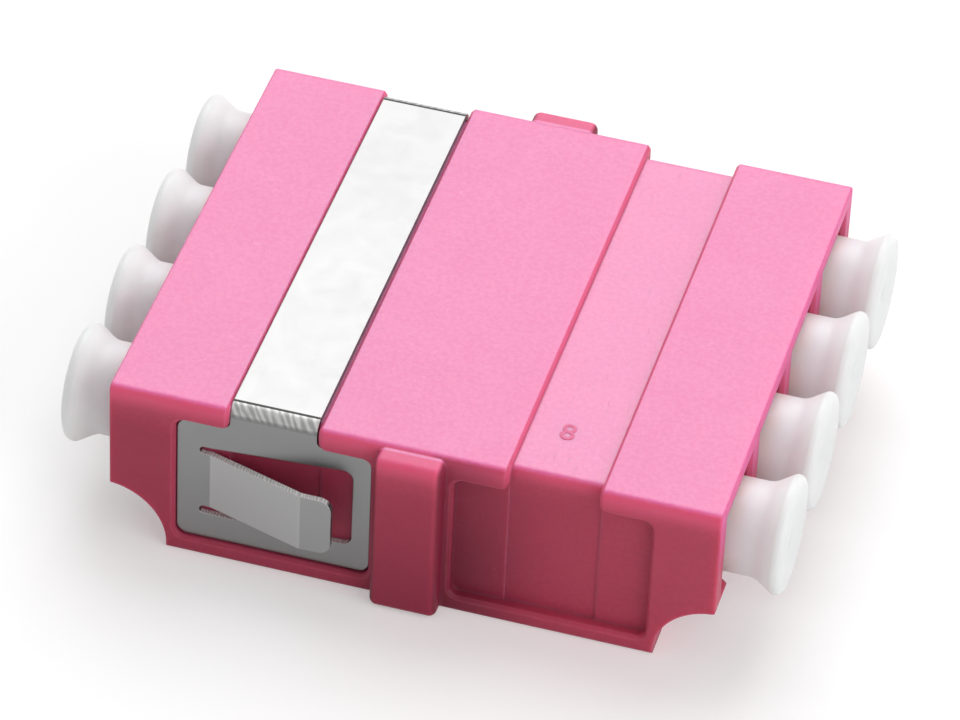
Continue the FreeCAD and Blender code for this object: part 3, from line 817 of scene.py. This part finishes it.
class CapLook(PropertyGroup):
    """Shape and colours of the dust caps."""

    colour: a_colour("Colour", "Colour of the plastic", (0.905, 0.950, 0.940))
    deep_colour: a_colour("Deep colour", "Colour where the plastic is thick", (0.875, 0.920, 0.908))
    pale_colour: a_colour("Pale colour", "Colour of rubbed edges", (0.96, 0.96, 0.955))
    # Painted light: the housing's pink showing through the cap near the port.
    stain_colour: a_colour("Port colour", "Colour near the port, where the housing shows through",
                           (0.93, 0.71, 0.60))
    # The rim colour greys the last part of each cap, towards its rim.
    rim_colour: a_colour("Rim colour", "Colour of the thin rim", (0.76, 0.77, 0.765))
    rim_shade: a_share("Rim shade", "How far the rim takes its own colour", 0.5)
    corner_shade: a_share("Corner shade", "How dark the inside corners are", 0.3)
    marks: a_share("Marks", "Strength of the fine lengthwise marks", 0.10)
    edge_wear: a_share("Edge wear", "How pale the rubbed edges are", 0.35)
    roughness: a_share("Roughness", "How matt the plastic is", 0.38)
    depth: a_length("Depth", "How far light travels inside the plastic", 1.8 * MM)
    depth_by_colour: a_colour("Depth by colour", "Share of the depth that each colour reaches",
                              (1.0, 0.95, 0.9))
    depth_weight: a_share("Depth weight", "How much light travels inside the plastic", 0.9)
    stem_radius: a_length("Stem radius", "Radius of the plain stem", 2.28 * MM)
    stem_chamfer: a_length("Stem end radius", "Rounding of the stem's inner end", 0.3 * MM)
    bore_radius: a_length("Bore radius", "Radius of the blind bore", 1.5 * MM)
    bore_lip: a_length("Bore lip", "Rounding of the bore's edges", 0.12 * MM)
    floor: a_length("Floor", "Solid end, from the outer face", 1.9 * MM)
    cone_length: a_length("Cone length", "From the barrel out to the rim", 0.95 * MM)
    cone_foot_radius: a_length("Cone foot radius", "Where the barrel turns up into the cone", 1.0 * MM)
    rim_length: a_length("Rim length", "Length of the rim", 0.45 * MM)
    rim_back_radius: a_length("Rim back radius", "Where the cone turns into the rim", 0.25 * MM)
    rim_edge_radius: a_length("Rim edge radius", "Rounding of the rim's outer edge", 0.35 * MM)
    dish: a_length("Dish", "Depth of the dish in the outer face", 0.14 * MM)
    gate_radius: a_length("Gate radius", "Radius of the gate mark", 0.35 * MM)
    gate_height: a_length("Gate height", "Height of the gate mark", 0.08 * MM)
    facets: IntProperty(name="Facets", description="Facets round a cap", default=96, min=16, max=256)


class GuideLook(PropertyGroup):
    """Colours of the split sleeves and their holders."""

    holder_colour: a_colour("Holder colour", "Colour of the holders", (0.66, 0.63, 0.55))
    holder_deep_colour: a_colour("Holder deep colour", "Colour where the plastic is thick",
                                 (0.58, 0.54, 0.46))
    holder_pale_colour: a_colour("Holder pale colour", "Colour of rubbed edges", (0.78, 0.76, 0.70))
    # Colour of the painted shade in inside corners of holders and sleeves.
    holder_dark_colour: a_colour("Holder dark colour", "Colour in corners", (0.30, 0.26, 0.21))
    ceramic_colour: a_colour("Ceramic colour", "Colour of the sleeves", (0.84, 0.83, 0.80))
    ceramic_deep_colour: a_colour("Ceramic deep colour", "Colour of the ground lines", (0.76, 0.75, 0.71))


class StageLook(PropertyGroup):
    """Floor, lights and camera."""

    floor_colour: a_colour("Floor colour", "Colour of the paper", (0.78, 0.78, 0.78))
    fibre_colour: a_colour("Fibre colour", "Colour of the paper's fibres", (0.8, 0.8, 0.8))
    floor_lift: a_share("Floor lift", "Light added to the paper as it is seen", 0.30)
    floor_size: a_length("Floor size", "Side of the square floor", 4.0)
    floor_gap: a_length("Floor gap", "Between the object and the paper, so that they never share a plane",
                        0.01 * MM)
    sky: a_number("Room light", "Strength of the light from all round", 0.42, min=0.0)
    lamp_distance: a_length("Lamp distance", "From the object to each lamp", 0.50)
    key_power: a_number("Key power", "Power of the large lamp above and behind", 1.6, min=0.0,
                        unit="POWER")
    key_size: a_length("Key size", "Side of the large lamp", 0.46)
    key_height: an_angle("Key height", "Angle of the large lamp above the floor", 54.0)
    key_turn: an_angle("Key turn", "Direction of the large lamp, from the front towards the right", 188.0)
    fill_power: a_number("Fill power", "Power of the small lamp at the right", 1.0, min=0.0,
                         unit="POWER")
    fill_size: a_length("Fill size", "Side of the small lamp", 0.40)
    fill_height: an_angle("Fill height", "Angle of the small lamp above the floor", 25.0)
    fill_turn: an_angle("Fill turn", "Direction of the small lamp, from the front towards the right", 65.0)
    camera_turn: an_angle("Camera turn", "Direction of the camera, from the front to the right", 14.271)
    camera_height: an_angle("Camera height", "Angle of the camera above the floor", 40.103)
    camera_roll: an_angle("Camera roll", "Tilt of the camera about its own axis", 2.797)
    camera_distance: a_length("Camera distance", "From the camera to the point it looks at", 295.436 * MM)
    camera_lens: a_number("Lens", "Focal length", 226.94, min=1.0, unit="CAMERA")
    camera_aim: FloatVectorProperty(name="Aim", description="Point that the camera looks at", size=3,
                                    default=(-0.840 * MM, 2.066 * MM, 2.563 * MM), unit="LENGTH",
                                    subtype="TRANSLATION", precision=5)


# ---- operators ----

class DressHousing(Operator):
    """Give the housing its moulded plastic"""

    bl_idname = "adapter.dress_housing"
    bl_label = "Housing"

    def execute(self, context):
        dress(HOUSING, housing_plastic(context.scene.adapter_housing))
        return {"FINISHED"}


class AddMark(Operator):
    """Add the small raised cavity number in the open channel"""

    bl_idname = "adapter.add_mark"
    bl_label = "Cavity number"

    def execute(self, context):
        look = context.scene.adapter_mark
        letters = bpy.data.curves.new("cavity_number", "FONT")
        letters.body = str(look.number)
        letters.align_x, letters.align_y = "CENTER", "CENTER"
        letters.size = look.height / FIGURE_SHARE
        letters.extrude = look.relief / 2
        letters.bevel_depth = look.edge
        letters.bevel_resolution = 2
        drawn = bpy.data.objects.new("cavity_number_drawing", letters)
        context.scene.collection.objects.link(drawn)
        context.view_layer.update()
        mesh = bpy.data.meshes.new_from_object(drawn.evaluated_get(context.evaluated_depsgraph_get()))
        bpy.data.objects.remove(drawn)
        floor = housing_high.z - look.channel_depth
        mesh.transform(Matrix.Translation((look.x, look.y, floor)))
        mesh.materials.clear()
        mesh.materials.append(number_plastic(look))
        new_piece("cavity_number", mesh, "housing")
        return {"FINISHED"}


class DressClip(Operator):
    """Give the panel clip its rolled spring steel"""

    bl_idname = "adapter.dress_clip"
    bl_label = "Panel clip"

    def execute(self, context):
        dress(CLIP, spring_steel(context.scene.adapter_clip))
        return {"FINISHED"}


class MakeCaps(Operator):
    """Make the eight dust caps"""

    bl_idname = "adapter.make_caps"
    bl_label = "Dust caps"

    def execute(self, context):
        look = context.scene.adapter_caps
        plastic = soft_white_plastic(look)
        profile = cap_profile(look)
        for side, turn in SIDE_TURNS.items():
            for port in PORTS:
                node = f"dust_cap_{side}_{port}"
                low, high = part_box(node)
                mesh = turned_mesh(f"trumpet_cap_{side}_{port}", profile, look.facets)
                mesh.transform(Matrix.Rotation(turn, 4, "Z"))
                mesh.transform(Matrix.Translation((0, (low.y + high.y) / 2, (low.z + high.z) / 2)))
                mesh.materials.append(plastic)
                piece = new_piece(f"trumpet_cap_{side}_{port}", mesh, f"cap_{side}_{port}")
                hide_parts(node)
        return {"FINISHED"}


class DressGuides(Operator):
    """Give the split sleeves and their holders their ceramic and plastic"""

    bl_idname = "adapter.dress_guides"
    bl_label = "Sleeves and holders"

    def execute(self, context):
        look = context.scene.adapter_guides
        ceramic, natural = zirconia(look), holder_plastic(look)
        for port in PORTS:
            dress(f"sleeve_{port}", ceramic)
            for side in SIDE_TURNS:
                dress(f"sleeve_holder_{side}_{port}", natural)
        return {"FINISHED"}


class SetStage(Operator):
    """Set the floor, the lights and the camera"""

    bl_idname = "adapter.set_stage"
    bl_label = "Stage"

    def execute(self, context):
        look = context.scene.adapter_stage
        lay_floor(look)
        light_room(look)
        key_way = direction(look.key_turn, look.key_height)
        fill_way = direction(look.fill_turn, look.fill_height)
        hang_lamp("key", look.key_power, look.key_size, key_way * look.lamp_distance)
        hang_lamp("fill", look.fill_power, look.fill_size, fill_way * look.lamp_distance)
        place_camera(look)
        context.scene.view_settings.view_transform = "Standard"
        return {"FINISHED"}


def lay_floor(look):
    """A square of paper under the object."""
    shape = bmesh.new()
    bmesh.ops.create_grid(shape, x_segments=2, y_segments=2, size=look.floor_size / 2)
    mesh = bpy.data.meshes.new("studio_floor")
    shape.to_mesh(mesh)
    shape.free()
    mesh.materials.append(floor_paper(look))
    floor = bpy.data.objects.new("studio_floor", mesh)
    floor.location.z = housing_low.z - look.floor_gap
    bpy.context.scene.collection.objects.link(floor)


def light_room(look):
    """Even light from all round, in front of a white background."""
    world = bpy.data.worlds.new("studio_room")
    world.use_nodes = True
    bpy.context.scene.world = world
    tree = world.node_tree
    strength = changed(tree, look.sky, (shows(tree), 1.0 - look.sky))
    feed(tree, tree.nodes["Background"].inputs, {"Color": opaque(WHITE), "Strength": strength})


def direction(turn, height):
    """The way to a point seen at this turn from the front and this height above the floor."""
    level = math.cos(height)
    return Vector((math.sin(turn) * level, -math.cos(turn) * level, math.sin(height)))


def hang_lamp(name, power, size, place):
    """One square soft lamp that faces the object."""
    lamp = bpy.data.lights.new(name, "AREA")
    lamp.shape = "SQUARE"
    lamp.size = size
    lamp.energy = power
    hung = bpy.data.objects.new(name, lamp)
    hung.location = place
    hung.rotation_euler = place.to_track_quat("Z", "Y").to_euler()
    bpy.context.scene.collection.objects.link(hung)


def place_camera(look):
    """A long lens that looks down on the long side with the clip."""
    lens = bpy.data.cameras.new("camera")
    lens.lens = look.camera_lens
    lens.sensor_width = 36.0
    lens.clip_start, lens.clip_end = 0.01, 20.0
    camera = bpy.data.objects.new("camera", lens)
    away = direction(look.camera_turn, look.camera_height)
    camera.location = Vector(look.camera_aim) + away * look.camera_distance
    level = away.to_track_quat("Z", "Y").to_matrix()
    camera.rotation_euler = (level @ Matrix.Rotation(look.camera_roll, 3, "Z")).to_euler()
    bpy.context.scene.collection.objects.link(camera)
    bpy.context.scene.camera = camera


OPERATORS = (SetStage, DressHousing, AddMark, DressClip, MakeCaps, DressGuides)
LOOKS = {
    "adapter_stage": StageLook,
    "adapter_housing": HousingLook,
    "adapter_mark": MarkLook,
    "adapter_clip": ClipLook,
    "adapter_caps": CapLook,
    "adapter_guides": GuideLook,
}


class AdapterPanel(Panel):
    """Lists the steps that finish the adapter"""

    bl_idname = "ADAPTER_PT_steps"
    bl_label = "Fibre adapter"
    bl_space_type = "VIEW_3D"
    bl_region_type = "UI"
    bl_category = "Adapter"

    def draw(self, context):
        for operator, settings in zip(OPERATORS, LOOKS):
            box = self.layout.box()
            box.operator(operator.bl_idname)
            look = getattr(context.scene, settings)
            for name in look.__annotations__:
                box.prop(look, name)


def register():
    """Register the settings, the operators and the panel."""
    for settings, look in LOOKS.items():
        bpy.utils.register_class(look)
        setattr(Scene, settings, PointerProperty(type=look))
    for operator in OPERATORS:
        bpy.utils.register_class(operator)
    bpy.utils.register_class(AdapterPanel)


def unregister():
    """Take them all away again."""
    bpy.utils.unregister_class(AdapterPanel)
    for operator in reversed(OPERATORS):
        bpy.utils.unregister_class(operator)
    for settings, look in reversed(LOOKS.items()):
        delattr(Scene, settings)
        bpy.utils.unregister_class(look)


def main():
    """Build everything in order."""
    register()
    bpy.ops.adapter.set_stage()
    bpy.ops.adapter.dress_housing()
    bpy.ops.adapter.add_mark()
    bpy.ops.adapter.dress_clip()
    bpy.ops.adapter.make_caps()
    bpy.ops.adapter.dress_guides()


if __name__ == "__main__":
    main()
